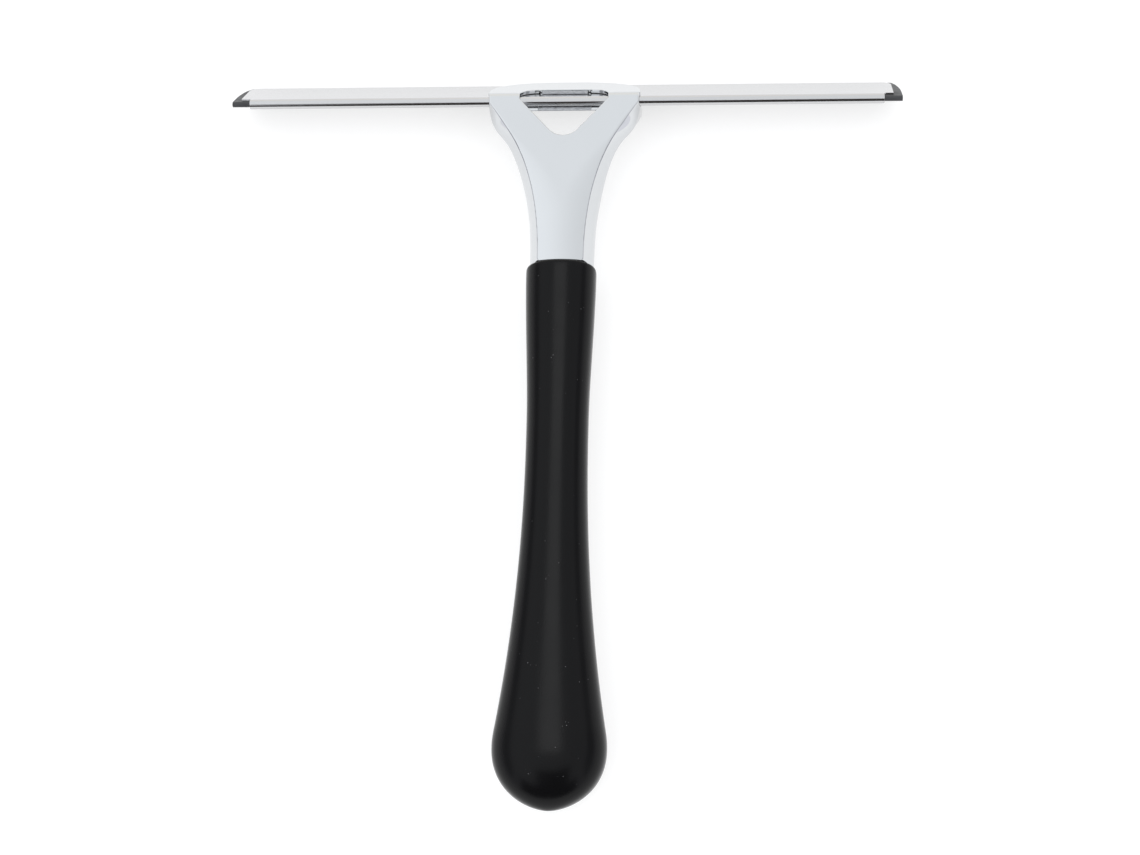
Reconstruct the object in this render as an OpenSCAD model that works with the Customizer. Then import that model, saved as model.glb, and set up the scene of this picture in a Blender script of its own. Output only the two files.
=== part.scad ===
// Window cleaning squeegee, lying face up.
// A die-cast head clamps a folded steel channel that carries the rubber blade,
// and a soft sleeve covers the two-part core of the handle.
// X runs along the blade, Y from the handle to the blade and Z up.

/* [Blade] */
// Length of the channel's wide front flange
flange_length = 195.5; // [170:0.5:260]
// How much the folded edge is cut back at each end of the flange
fold_notch = 2.75; // [1:0.25:5]
// Depth of the front flange, measured from the middle of the fold
flange_depth = 16.5; // [15.5:0.5:18]
// Depth of the short rear leg that holds the rubber
leg_depth = 9; // [8.5:0.5:9.5]
// Thickness of the channel's steel sheet
sheet = 0.6; // [0.5:0.1:0.7]
// Clear gap inside the folded channel
channel_gap = 1.8; // [1.7:0.1:2.0]
// Length of the rubber blade
rubber_length = 200.8; // [196:0.4:280]
// Distance from the middle of the fold to the rubber's wiping edge
rubber_reach = 20.5; // [19.5:0.5:23]
// Slope of the blade below the horizontal
blade_tilt = 52; // [50:1:54]

/* [Head] */
// Width of the clamping jaws along the blade
jaw_width = 45.4; // [45:0.2:48]
// Distance from the near edge of the fold to the end of the neck
head_length = 50.7; // [48:0.1:56]
// Wall in front of the channel
front_wall = 1.2; // [1:0.1:1.5]
// Wall behind the channel, which the set screws pass through
rear_wall = 5.2; // [4.8:0.1:5.6]
// Thickness of the head beside the window
ear_depth = 7.7; // [7:0.1:8.5]
// Thickness of the neck where it meets the grip
neck_depth = 14.9; // [13:0.1:15.5]
// Clearance between the channel and the slot in the head
slot_clearance = 0.1; // [0.05:0.01:0.15]

/* [Set screws] */
// Thread diameter of the set screws
screw_d = 4; // [3:0.5:4]
// Length of the set screws
screw_length = 5; // [4.5:0.1:5]
// Width across the flats of the hexagonal socket
socket_flats = 2; // [1.5:0.5:2]
// Distance from the middle of the head to the screws
screw_offset = 17.5; // [16.5:0.5:18]
// Clearance all round a running fit
running_gap = 0.05; // [0.02:0.01:0.08]

/* [Grip] */
// Length of the grip
grip_length = 159; // [150:1:170]
// Half width of the grip at its mouth
mouth_half_width = 10.35; // [10.2:0.05:10.8]
// Half width of the grip at its waist
waist_half_width = 8.95; // [8.9:0.05:9.5]
// Growth of the half width from the waist to the bulb
bulb_growth = 7.08; // [5.5:0.02:7.1]
// Half thickness of the grip at its mouth
mouth_half_depth = 9.2; // [9:0.1:9.6]
// Half thickness of the grip at its waist
waist_half_depth = 8; // [7.9:0.1:8.6]
// Growth of the half thickness from the waist to the bulb
bulb_rise = 3.4; // [2.5:0.1:3.4]
// Thickness of the soft sleeve
sleeve_wall = 1.8; // [1.5:0.1:1.8]

/* [Hidden] */
$fn = 48;
slop = 0.01;

// Blade section: s is the distance from the fold towards the wiping edge, and
// t the distance from the channel's middle plane towards the front.
gap_half = channel_gap / 2;
channel_half = gap_half + sheet;
slot_half = channel_half + slot_clearance;
head_half = slot_half + front_wall;
back_half = slot_half + rear_wall;
flange_margin = 1.5;
front_wall_depth = flange_depth - flange_margin;
apron_power = 2.6;
apron_inset = 0.05;
apron_lap = 0.5;
rear_margin = 3.5;
rear_wall_depth = leg_depth + rear_margin;
screw_places = [3, 9];
screw_tip_gap = 0.05;
crimp_length = 0.6;
crimp_inset = 0.4;
bead_depth = leg_depth - crimp_length - 0.2;
web_back = gap_half - crimp_inset - 0.1;
lip_thickness = 1;
lip_taper = 4.5;
end_draw = 2.2;
end_straight = 5;
flange_corner = 3;

// Places in the row's frame
lip_drop = rubber_reach * sin(blade_tilt) + web_back * cos(blade_tilt);
fold_z = lip_drop;
lip_forward = rubber_reach * cos(blade_tilt) + (lip_thickness - web_back) * sin(blade_tilt);
grip_gap = 0.3;
overall_length = lip_forward + channel_half + head_length + grip_gap + grip_length;
fold_y = overall_length / 2 - lip_forward;
near_edge_y = fold_y - channel_half;
front_z = fold_z + head_half;
ear_z = front_z - ear_depth;
neck_z = front_z - neck_depth;
grip_axis_z = 11.5;
neck_end_y = near_edge_y - head_length;
mouth_y = neck_end_y - grip_gap;

// Half widths of the head's front face and of its whole outline, at equal steps
// from the near edge of the fold towards the grip. The first is one step before it.
outline_step = 6;
front_outline = [26.5, 22.3, 18, 14.5, 11.8, 9.9, 8.5, 7.6, 7.05, 6.85, 6.8, 6.8];
full_outline = [22.7, 22.7, 21, 16.7, 13.9, 12.05, 10.8, 10, 9.65, 9.5, 9.45, 9.45];

// Window: a slot along the fold that runs into a V towards the grip. The land is
// a rough step behind the slot's straight edge, and the bridge is the part of the
// head that stays behind the channel.
window_top_half = 7.7;
window_top_depth = 4;
window_tip_half = 13;
window_v_r = 5.6;
window_v_end = 10.75;
window_v_slope = 48;
window_shoulder = 12.2;
land_half = 6.9;
land_depth = 1.1;
land_step = 0.5;
bridge_width = 1.3;
bridge_drop = 0.6;
bridge_lean = 0.55;
bridge_z = fold_z - bridge_drop;

// Cores and core screws
tang_width = 10;
tang_depth = 7;
tang_length = 45;
tang_bore_gap = 0.4;
core_gap = 0.1;
core_split = 0.02;
collar_width = 12.4;
collar_depth = 10.4;
collar_length = 1.6;
core_screw_shank = 2.6;
core_screw_head = 5;
core_screw_head_depth = 1.4;
core_screw_length = 10;
core_screw_at = [22, 118];
core_screw_seat = grip_axis_z - core_screw_length / 2;

// Grip profile, with t measured from the mouth
waist_at = 52;
bulb_span = 88;
bulb_power = 2.16;
tip_from = 137.1 * grip_length / 159;
section_power = 2.3;
ring_points = 24;

function ease(x) = let (c = min(max(x, 0), 1)) c * c * (3 - 2 * c);
function tip_cap(t, end) =
    t <= tip_from ? 1
    : pow(max(1 - pow((t - tip_from) / (end - tip_from), 2.1), 0), 0.6);
function swell(t) = pow(max(t - waist_at, 0) / bulb_span, bulb_power);
function grip_half_width(t) =
    waist_half_width + (mouth_half_width - waist_half_width) * (1 - ease(t / 49))
    + bulb_growth * swell(t);
function grip_half_depth(t) =
    waist_half_depth + (mouth_half_depth - waist_half_depth) * (1 - ease(t / 49))
    + bulb_rise * swell(t);

// Value of a list of equally spaced knots at place p, counted in steps
function smooth(knots, p) =
    let (i = min(max(floor(p), 1), len(knots) - 3), f = p - i,
         a = knots[i - 1], b = knots[i], c = knots[i + 1], d = knots[i + 2])
    b + f * (c - a + f * (2 * a - 5 * b + 4 * c - d + f * (3 * b - a - 3 * c + d))) / 2;
function front_half(d) = smooth(front_outline, d / outline_step + 1);
function full_half(d) = smooth(full_outline, d / outline_step + 1);
function bridge_y(z) = near_edge_y - bridge_width + bridge_lean * (bridge_z - z);
function underside_z(d) = ear_z + (neck_z - ear_z) * ease((d - 12) / 20);

// Point on a superellipse
function round_point(half_width, half_depth, angle, power) = [
    half_width * sign(cos(angle)) * pow(abs(cos(angle)), 2 / power),
    half_depth * sign(sin(angle)) * pow(abs(sin(angle)), 2 / power)];

// Ring round the grip at t from the mouth, set in from the surface by inset
function grip_ring(t, end, inset, from = 0, to = 360) =
    let (cap = tip_cap(t, end), steps = ring_points * (to - from) / 360)
    [for (k = [0:steps - (to - from == 360 ? 1 : 0)])
        let (angle = from + k * 360 / ring_points,
             p = round_point((grip_half_width(t) - inset) * cap,
                             (grip_half_depth(t) - inset) * cap, angle, section_power))
        [p[0], mouth_y - t, grip_axis_z + p[1]]];

// Stations along the grip: even steps, then closer together over the round tip
function stations(start, end, first_step) = concat(
    [start, start + first_step],
    [for (t = [start + 2 * first_step:6:tip_from - 2]) t],
    [for (k = [0:10]) tip_from + (end - tip_from) * sin(9 * k) * 0.998]);

// Skin over a chain of rings with equal point counts, closed flat at both ends
module loft(rings) {
    n = len(rings[0]);
    last = len(rings) - 1;
    points = [for (ring = rings) each ring];
    walls = [for (i = [0:last - 1], j = [0:n - 1]) each [
        [i * n + j, (i + 1) * n + (j + 1) % n, i * n + (j + 1) % n],
        [i * n + j, (i + 1) * n + j, (i + 1) * n + (j + 1) % n]]];
    first_cap = [for (j = [0:n - 1]) j];
    last_cap = [for (j = [n - 1:-1:0]) last * n + j];
    polyhedron(points, concat(walls, [first_cap, last_cap]));
}

// Places children so that their X, Y and Z are along the blade, s and t
module on_blade() {
    translate([0, fold_y, fold_z]) rotate([-blade_tilt, 0, 0]) children();
}

// Runs a flat outline, drawn in Y and Z, along X about the middle
module along_x(length) {
    rotate([90, 0, 90]) linear_extrude(length, center = true) children();
}

module slab(x, y0, y1, z0, z1) {
    translate([-x, y0, z0]) cube([2 * x, y1 - y0, z1 - z0]);
}

// --- Head ---

// Point of the jaw's outline in Y and Z, measured from the middle of the fold
function jaw_point(s, t) = [s * cos(blade_tilt) + t * sin(blade_tilt),
                            t * cos(blade_tilt) - s * sin(blade_tilt)];

// Jaw block: the bend over the fold and the wedge behind the slot
module jaw_block() {
    bend = [for (a = [90 - blade_tilt:4:90]) head_half * [cos(a), sin(a)]];
    back_s = (fold_z - ear_z - back_half * cos(blade_tilt)) / sin(blade_tilt);
    back_top = jaw_point(back_s, -back_half);
    translate([0, fold_y, fold_z]) along_x(jaw_width) polygon(concat(
        [jaw_point(apron_lap, 0), jaw_point(apron_lap, head_half)], bend,
        [[back_top[0] - slop, head_half], back_top,
         jaw_point(rear_wall_depth, -back_half), jaw_point(rear_wall_depth, 0)]));
}

// Arched wall in front of the channel
module apron() {
    arch = [for (a = [0:5:180])
        round_point(jaw_width / 2 - apron_inset, front_wall_depth, a, apron_power)];
    on_blade() translate([0, 0, slot_half - apron_lap])
        linear_extrude(front_wall + apron_lap) polygon(arch);
}

// Flat front plate of the head, as wide as the front face at each place
module front_plate() {
    steps = 40;
    side = [for (k = [0:steps]) let (d = k * head_length / steps)
        [front_half(d), near_edge_y - d]];
    outline = concat(side, [for (k = [steps:-1:0]) [-side[k][0], side[k][1]]]);
    translate([0, 0, front_z - 1]) linear_extrude(1) polygon(outline);
}

function head_ring(d) =
    let (low = underside_z(d), wide = full_half(d), narrow = front_half(d) - 0.35,
         top = front_z - 0.5, middle = low + 0.42 * (top - low), foot = wide - 0.4 * (middle - low),
         side = [[foot, low], [(wide + foot) / 2 + 0.4, (middle + low) / 2 - 0.3], [wide, middle],
                 [(narrow + wide) / 2 + 0.4, (top + middle) / 2 + 0.3], [narrow, top]])
    concat([for (p = side) [p[0], near_edge_y - d, p[1]]],
           [for (k = [4:-1:0]) [-side[k][0], near_edge_y - d, side[k][1]]]);

// Flaring sides and underside, from the jaws to the grip
module neck() {
    steps = 24;
    start = 2.4;
    loft([for (k = [0:steps]) head_ring(start + k * (head_length - start) / steps)]);
}

// Window in plan: a straight edge over the flange, two tips, and a V with a round end
module window_outline() {
    centre = window_v_end - window_v_r;
    apex = centre + window_v_r / cos(window_v_slope);
    arc = [for (k = [0:5]) let (a = 90 - window_v_slope * (1 - k / 5))
        [window_v_r * cos(a), centre + window_v_r * sin(a)]];
    half = concat([[window_top_half, -8], [window_tip_half - 2, -4.8], [window_tip_half, -2],
                   [window_shoulder, apex - window_shoulder * tan(window_v_slope)]], arc);
    translate([0, near_edge_y]) mirror([0, 1])
        polygon(concat(half, [for (k = [len(half) - 2:-1:0]) [-half[k][0], half[k][1]]]));
}

// The window opens the wall in front of the channel, and the V runs right through,
// so that a bridge stays behind the channel, with its top below the fold and its
// side towards the grip leaning back
module window() {
    intersection() {
        translate([0, 0, ear_z - 5]) linear_extrude(30) window_outline();
        union() {
            on_blade() slab(20, -40, window_top_depth, 0, 40);
            along_x(40) polygon([[0, 0], [bridge_y(0), 0], [bridge_y(bridge_z), bridge_z],
                                 [fold_y + 1, bridge_z], [fold_y + 1, 40], [0, 40]]);
        }
    }
}

module head_casting() {
    color([0.86, 0.87, 0.9]) {
        difference() {
            union() {
                jaw_block();
                apron();
                front_plate();
                neck();
            }
            on_blade() along_x(jaw_width + 2) {
                circle(slot_half);
                translate([0, -slot_half]) square([40, 2 * slot_half]);
            }
            window();
            for (side = [-1, 1], place = screw_places)
                set_screw_place(side, place) translate([0, 0, -2 * back_half])
                    cylinder(r = screw_d / 2 + running_gap, h = 2 * back_half);
        }
        // Rough land behind the window's straight edge
        on_blade() translate([-land_half, window_top_depth - land_depth, slot_half])
            cube([2 * land_half, land_depth + 1, front_wall - land_step]);
        // Collar and tang that the grip holds
        translate([-collar_width / 2, neck_end_y - collar_length, grip_axis_z - collar_depth / 2])
            cube([collar_width, collar_length + 1, collar_depth]);
        difference() {
            translate([-tang_width / 2, mouth_y - tang_length, grip_axis_z - tang_depth / 2])
                cube([tang_width, tang_length + 1, tang_depth]);
            core_screw_bore(core_screw_at[0], tang_bore_gap);
        }
    }
}

// --- Blade ---

module blade_channel() {
    fold_length = flange_length - 2 * fold_notch;
    color([0.84, 0.84, 0.82]) on_blade() {
        along_x(fold_length) {
            difference() {
                circle(channel_half);
                circle(gap_half);
                translate([0, -10]) square(20);
            }
            translate([0, gap_half]) square([2, sheet]);
            translate([0, -channel_half]) square([leg_depth, sheet]);
            translate([leg_depth - crimp_length, -channel_half])
                square([crimp_length, sheet + crimp_inset]);
        }
        // Wide front flange with rounded outer corners
        translate([0, 0, gap_half]) linear_extrude(sheet) difference() {
            translate([-flange_length / 2, 1]) square([flange_length, flange_depth - 1]);
            for (side = [-1, 1])
                translate([side * (flange_length / 2 - flange_corner), flange_depth - flange_corner])
                    difference() {
                        translate([side > 0 ? 0 : -5, 0]) square(5);
                        circle(flange_corner);
                    }
        }
    }
}

// Half length of the rubber at s, drawn in towards the wiping edge
function rubber_end(s) =
    rubber_length / 2 - end_draw * pow(max(s - end_straight, 0) / (rubber_reach - end_straight), 2);

module rubber_blade() {
    half = gap_half - running_gap;
    lip_front = lip_thickness - web_back;
    end = [for (k = [0:8]) let (s = end_straight + k * (rubber_reach - end_straight) / 8)
        [rubber_end(s), s]];
    color([0.16, 0.16, 0.17]) on_blade() intersection() {
        along_x(rubber_length + 2) {
            circle(half);
            polygon([
                [0, -half], [bead_depth, -half], [bead_depth, -web_back],
                [rubber_reach, -web_back], [rubber_reach, lip_front],
                [rubber_reach - lip_taper, half], [0, half]]);
        }
        translate([0, 0, -2]) linear_extrude(4) polygon(concat(
            [[rubber_end(0), -2]], end, [[0, rubber_reach + 1]],
            [for (k = [8:-1:0]) [-end[k][0], end[k][1]]], [[-rubber_end(0), -2]]));
    }
}

// --- Set screws ---

// Puts the Z axis on a set screw's axis, with the origin on the channel's middle plane
module set_screw_place(side, place) {
    on_blade() translate([side * screw_offset, place, 0]) children();
}

module set_screw(side, place) {
    outer = -channel_half - screw_tip_gap;
    cup_r = 0.9;
    cup_depth = 0.4;
    color([0.75, 0.75, 0.74]) set_screw_place(side, place)
        translate([0, 0, outer - screw_length]) difference() {
            cylinder(r = screw_d / 2, h = screw_length);
            translate([0, 0, -1])
                cylinder(d = socket_flats / cos(30), h = 1 + screw_length / 2, $fn = 6);
            translate([0, 0, screw_length - cup_depth])
                cylinder(r1 = 0.2, r2 = cup_r, h = cup_depth + slop);
        }
}

// --- Grip ---

module grip_sleeve() {
    inner_end = grip_length - sleeve_wall;
    outer = [for (t = stations(0, grip_length, 1.2))
        grip_ring(t, grip_length, t < 0.5 ? 0.9 : 0)];
    inner_stations = stations(0, inner_end, 1.2);
    inner = [for (k = [len(inner_stations) - 1:-1:0])
        grip_ring(inner_stations[k], inner_end, sleeve_wall)];
    color([0.12, 0.12, 0.13]) loft(concat(inner, outer));
}

// Bore for a core screw at t from the mouth, with extra clearance round the shank
module core_screw_bore(t, extra) {
    translate([0, mouth_y - t, 0])
        cylinder(r = core_screw_shank / 2 + extra, h = 40);
}

module grip_core(from, to) {
    start = 1.6;
    end = grip_length - sleeve_wall - core_gap;
    loft([for (t = stations(start, end, 2)) grip_ring(t, end, sleeve_wall + core_gap, from, to)]);
}

module tang_pocket() {
    translate([-tang_width / 2 - core_gap, mouth_y - tang_length - core_gap,
               grip_axis_z - tang_depth / 2 - core_gap])
        cube([tang_width + 2 * core_gap, tang_length + 1, tang_depth + 2 * core_gap]);
}

module grip_core_upper() {
    color([0.3, 0.3, 0.32]) translate([0, 0, core_split]) difference() {
        grip_core(0, 180);
        tang_pocket();
        for (t = core_screw_at) intersection() {
            core_screw_bore(t, running_gap);
            slab(20, -200, 200, 0, grip_axis_z + core_screw_length / 2 + 0.3);
        }
    }
}

module grip_core_lower() {
    color([0.33, 0.33, 0.35]) difference() {
        grip_core(180, 360);
        tang_pocket();
        for (t = core_screw_at) {
            core_screw_bore(t, running_gap);
            translate([0, mouth_y - t, -1])
                cylinder(r = core_screw_head / 2 + 0.2, h = 1 + core_screw_seat);
        }
    }
}

module core_screw(t) {
    color([0.7, 0.7, 0.72]) translate([0, mouth_y - t, core_screw_seat]) difference() {
        union() {
            cylinder(r = core_screw_shank / 2, h = core_screw_length);
            translate([0, 0, -core_screw_head_depth])
                cylinder(r = core_screw_head / 2, h = core_screw_head_depth);
        }
        for (turn = [0, 90]) rotate(turn)
            translate([-1.3, -0.3, -core_screw_head_depth - 1]) cube([2.6, 0.6, 2]);
    }
}

module core_screw_front() { core_screw(core_screw_at[0]); }
module core_screw_rear() { core_screw(core_screw_at[1]); }

head_casting();
blade_channel();
rubber_blade();
set_screw(-1, screw_places[0]);  // set_screw_left_upper
set_screw(-1, screw_places[1]);  // set_screw_left_lower
set_screw(1, screw_places[0]);  // set_screw_right_upper
set_screw(1, screw_places[1]);  // set_screw_right_lower
grip_sleeve();
grip_core_upper();
grip_core_lower();
core_screw_front();
core_screw_rear();
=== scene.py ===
"""Looks of a window cleaning squeegee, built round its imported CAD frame.

The head is meshed from a field of distances, so that its edges are rounded as a
casting's are. The channel, rubber, sleeve and set screws are swept meshes. Sizes
are in millimetres in the frame's own axes, and meshes are made in metres.
"""
import math

import bpy
import numpy as np
from mathutils import Matrix, Vector


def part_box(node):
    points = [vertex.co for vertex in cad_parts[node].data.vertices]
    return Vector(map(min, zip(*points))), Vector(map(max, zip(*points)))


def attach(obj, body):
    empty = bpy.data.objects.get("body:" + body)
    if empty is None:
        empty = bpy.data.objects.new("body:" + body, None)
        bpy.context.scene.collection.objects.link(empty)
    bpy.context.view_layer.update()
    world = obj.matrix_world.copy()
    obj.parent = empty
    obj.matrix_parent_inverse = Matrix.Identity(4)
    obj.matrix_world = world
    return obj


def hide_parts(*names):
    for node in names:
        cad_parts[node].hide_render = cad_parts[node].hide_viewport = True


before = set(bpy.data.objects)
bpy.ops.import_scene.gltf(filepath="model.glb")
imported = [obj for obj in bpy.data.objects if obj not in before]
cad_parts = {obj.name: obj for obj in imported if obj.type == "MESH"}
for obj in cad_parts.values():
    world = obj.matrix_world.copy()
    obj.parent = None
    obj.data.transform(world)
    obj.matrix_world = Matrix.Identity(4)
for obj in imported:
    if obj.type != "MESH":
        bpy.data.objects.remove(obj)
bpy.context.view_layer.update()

MM = 0.001


def box_mm(node):
    low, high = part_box(node)
    return np.array(low) / MM, np.array(high) / MM


# --- Sizes and places -------------------------------------------------------

# Blade section: s runs from the fold to the wiping edge, t towards the front
TILT = math.radians(52)
SHEET = 0.6
CHANNEL_HALF = 1.5
FLANGE_DEPTH = 16.5
FLANGE_CORNER = 3.0
LEG_DEPTH = 9.0
CRIMP = 0.4
FOLD_NOTCH = 2.75
FOLD_NOTCH_R = 0.5
RUBBER_REACH = 20.5
RUBBER_HALF = 0.85
BEAD_DEPTH = 8.2
WEB_BACK = 0.4
LIP_FRONT = 0.6
LIP_TAPER = 4.5
END_DRAW = 2.2
END_STRAIGHT = 5.0
RUBBER_MIDDLE = (9.0, 0.1)

channel_low, channel_high = box_mm("blade_channel")
FOLD_Y = channel_low[1] + CHANNEL_HALF
FOLD_Z = channel_high[2] - CHANNEL_HALF
FLANGE_HALF = channel_high[0]
NEAR_EDGE_Y = channel_low[1]
RUBBER_LENGTH_HALF = box_mm("rubber_blade")[1][0]

# Head: d is the distance from the near edge of the fold towards the grip
SLOT_HALF = 1.6
HEAD_HALF = 2.8
BACK_HALF = 6.8
JAW_HALF = 22.7
REAR_DEPTH = 12.5
APRON_DEPTH = 15.0
APRON_POWER = 2.6
FRONT_Z = FOLD_Z + HEAD_HALF
EAR_Z = FRONT_Z - 7.7
NECK_Z = FRONT_Z - 14.9
HEAD_LENGTH = 50.7
NECK_FROM = 0.6
UNDERSIDE_FROM = 12.0
UNDERSIDE_SPAN = 20.0
CROWN_DROP = 1.1
CROWN_FROM = 7.0
CROWN_SPAN = 27.0
SIDE_WIDEST = 0.6
SIDE_TUCK = 2.4
TUCK_FROM = 2.0
TUCK_SPAN = 10.0
JAW_STEP = 0.4
APRON_FROM = 0.5
APRON_LAP = 0.5
BODY_LAP = 0.4
HEAD_STEP = 0.26

# Half widths of the front face and of the whole outline, at equal steps in d. The
# first is one step before the near edge.
OUTLINE_STEP = 6
FRONT_OUTLINE = [26.5, 22.3, 18, 14.5, 11.8, 9.9, 8.5, 7.6, 7.05, 6.85, 6.8, 6.8]
FULL_OUTLINE = [22.7, 22.7, 21, 16.7, 13.9, 12.05, 10.8, 10, 9.65, 9.5, 9.45, 9.45]

# Edge and corner radii of the casting
SIDE_EDGE = 1.0
JAW_EDGE = 0.8
NECK_EDGE = 0.5
INNER_CORNER = 1.5
WINDOW_CORNER = 0.8
FACE_EDGE = 0.3
WINDOW_EDGE = 0.25
BORE_EDGE = 0.2
SLOT_EDGE = 0.12

# Window in the head
WINDOW_TOP_HALF = 7.7
WINDOW_TOP_DEPTH = 4.0
WINDOW_TOP_FROM = -1.2
WINDOW_TIP_HALF = 13.2
WINDOW_V_R = 5.6
WINDOW_V_END = 10.75
WINDOW_V_SLOPE = math.radians(48)
WALL_LEAN = 0.85
WALL_LEAN_FROM = 2.0
FAR = 99.0
BRIDGE_WIDTH = 1.3
BRIDGE_DROP = 0.6
BRIDGE_LEAN = 0.55
LAND_HALF = 6.9
LAND_DEPTH = 1.1
LAND_TOP = 0.7
LAND_LAP = 2.0
POCKET_FROM = 3.0
POCKET_DEPTH = 1.6
POCKET_TOP = 0.8
ROUGH_BRIDGE_HALF = 8.1
ROUGH_BRIDGE_DEPTH = 3.0

# Set screws
SCREW_R = 2.0
SCREW_BORE_R = 2.05
SCREW_LENGTH = 5.0
SCREW_PITCH = 0.7
SCREW_CHAMFER = 0.45
SCREW_OFFSET = 17.5
SCREW_PLACES = {"upper": 3.0, "lower": 9.0}
SCREW_TIP_T = -1.55
SOCKET_HALF = 1.0
SOCKET_DEPTH = 2.5

# Grip: t is the distance from its mouth
sleeve_low, sleeve_high = box_mm("grip_sleeve")
MOUTH_Y = sleeve_high[1]
GRIP_LENGTH = sleeve_high[1] - sleeve_low[1]
GRIP_AXIS_Z = (sleeve_low[2] + sleeve_high[2]) / 2
WAIST_HALF = (8.95, 8.0)
MOUTH_GROWTH = (1.4, 1.2)
BULB_GROWTH = (7.08, 3.4)
MOUTH_SPAN = 49.0
WAIST_AT = 52.0
BULB_SPAN = 88.0
BULB_POWER = 2.16
TIP_FROM = 137.1
TIP_POWER = 2.1
TIP_ROUND = 0.6
SECTION_POWER = 2.3
SLEEVE_WALL = 1.8
LIP_R = 0.9
SKIN_INSET = 0.03

# Collar and tang of the head, inside the grip
COLLAR_HALF = (8.0, 6.9)
COLLAR_MEAN = 7.4
COLLAR_LENGTH = 1.6
COLLAR_LAP = 1.0
TANG_HALF = (5.0, 22.5, 3.5)
TANG_LAP = 0.5
TANG_ROUND = 0.6
TANG_BORE_AT = 22.0
TANG_BORE_R = 1.7

# --- Light in watts and brightness, camera in metres, lens in millimetres ---

SIDE_WALLS = (1.00, 1.00, 1.06)
SIDE_BAND = (0.45, 0.46, 0.48)
FAR_WALL = (1.13, 1.11, 1.06)
LEFT_UPPER = (1.20, 1.23, 1.26)
RIGHT_UPPER = (0.94, 0.96, 0.98)
BACKDROP = (1.0, 1.0, 1.0)
DARK_GAP = (0.055, 0.050, 0.048)
FLOOR_HALF = 6.0
FLOOR_GLOW = 0.66

CAMERA_ELEVATION = math.radians(71)
CAMERA_YAW = math.radians(-12.5)
CAMERA_ROLL = math.radians(-11.84)
CAMERA_DISTANCE = 0.680
CAMERA_TARGET = (0.0035, -0.0015, 0.010)
SENSOR_WIDTH = 36.0
FOCAL_LENGTH = 74.6

# Each lamp's place, what it points at, its size and its power
SOFTBOXES = {
    "softbox_over": ((0.0, 0.1, 0.95), (0, 0, 0), (1.2, 1.0), 1.5),
    "softbox_front_left": ((-0.5, -0.55, 0.5), (0, 0.08, 0), (0.9, 0.6), 2.5),
    "softbox_front_right": ((0.5, -0.55, 0.5), (0, 0.08, 0), (0.9, 0.6), 2.5),
}
GRIP_STRIP = ((-0.005, 0.10, 0.69), (0, -0.035, 0), (0.24, 0.56), 0.65)

# Regions of the sky. Each edge is an axis, where the region ends and where it is full.
SIDE_BAND_EDGES = (("sideways", 0.74, 0.84), ("z", 0.12, 0.22), ("z", 0.58, 0.48))
UPPER_GAP_EDGES = (("x", -0.26, -0.17), ("x", 0.42, 0.35), ("y", -0.3, -0.4),
                   ("z", 0.02, 0.06), ("z", 0.87, 0.84))
LOWER_GAP_EDGES = (("sideways", 0.62, 0.55), ("y", -0.3, -0.4), ("z", 0.02, 0.06),
                   ("z", 0.55, 0.45))


# --- Shape functions --------------------------------------------------------

def ease(x):
    """0 up to 0, 1 from 1 on, and a smooth rise between them."""
    c = np.clip(x, 0, 1)
    return c * c * (3 - 2 * c)


def smooth(knots, place):
    """Catmull-Rom value of equally spaced knots at a place counted in steps."""
    knots = np.asarray(knots, float)
    i = np.clip(np.floor(place), 1, len(knots) - 3).astype(int)
    f = place - i
    a, b, c, d = knots[i - 1], knots[i], knots[i + 1], knots[i + 2]
    return b + f * (c - a + f * (2 * a - 5 * b + 4 * c - d + f * (3 * b - a - 3 * c + d))) / 2


def fillet_and(a, b, r):
    """Field of the overlap of two solids, with their shared edge rounded to r."""
    corner = np.hypot(np.maximum(a + r, 0), np.maximum(b + r, 0))
    return np.minimum(-r, np.maximum(a, b)) + corner


def fillet_or(a, b, r):
    """Field of two solids together, with the corner between them filled to r."""
    return -fillet_and(-a, -b, r)


def rounded_box(point, centre, half, r):
    """Field of a box with its edges rounded to r."""
    past = [np.abs(p - c) - h + r for p, c, h in zip(point, centre, half)]
    outside = np.sqrt(sum(np.maximum(q, 0) ** 2 for q in past))
    return outside + np.minimum(np.maximum.reduce(past), 0) - r


def blade_coordinates(y, z):
    """s and t on the blade of a place in the frame."""
    dy, dz = y - FOLD_Y, z - FOLD_Z
    return (dy * math.cos(TILT) - dz * math.sin(TILT),
            dy * math.sin(TILT) + dz * math.cos(TILT))


def from_blade(x, s, t):
    """Point in the frame of a place on the blade."""
    y = FOLD_Y + s * np.cos(TILT) + t * np.sin(TILT)
    z = FOLD_Z - s * np.sin(TILT) + t * np.cos(TILT)
    return np.stack(np.broadcast_arrays(x, y, z), axis=-1)


# --- Mesh helpers -----------------------------------------------------------

def make_object(name, points, faces, materials):
    """Smooth-shaded mesh object from points in millimetres."""
    mesh = bpy.data.meshes.new(name)
    mesh.from_pydata((np.asarray(points) * MM).tolist(), [], [list(map(int, f)) for f in faces])
    mesh.validate()
    for material in materials:
        mesh.materials.append(material)
    mesh.shade_smooth()
    obj = bpy.data.objects.new(name, mesh)
    bpy.context.scene.collection.objects.link(obj)
    return obj


def add_modifier(obj, kind, **settings):
    modifier = obj.modifiers.new(kind.title(), kind)
    for name, value in settings.items():
        setattr(modifier, name, value)


def gradient(field, points, h=0.01):
    """Slope of a field at points, from steps of h to either side."""
    x, y, z = points.T
    return np.stack([field(x + h, y, z) - field(x - h, y, z),
                     field(x, y + h, z) - field(x, y - h, z),
                     field(x, y, z + h) - field(x, y, z - h)], axis=1) / (2 * h)


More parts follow.
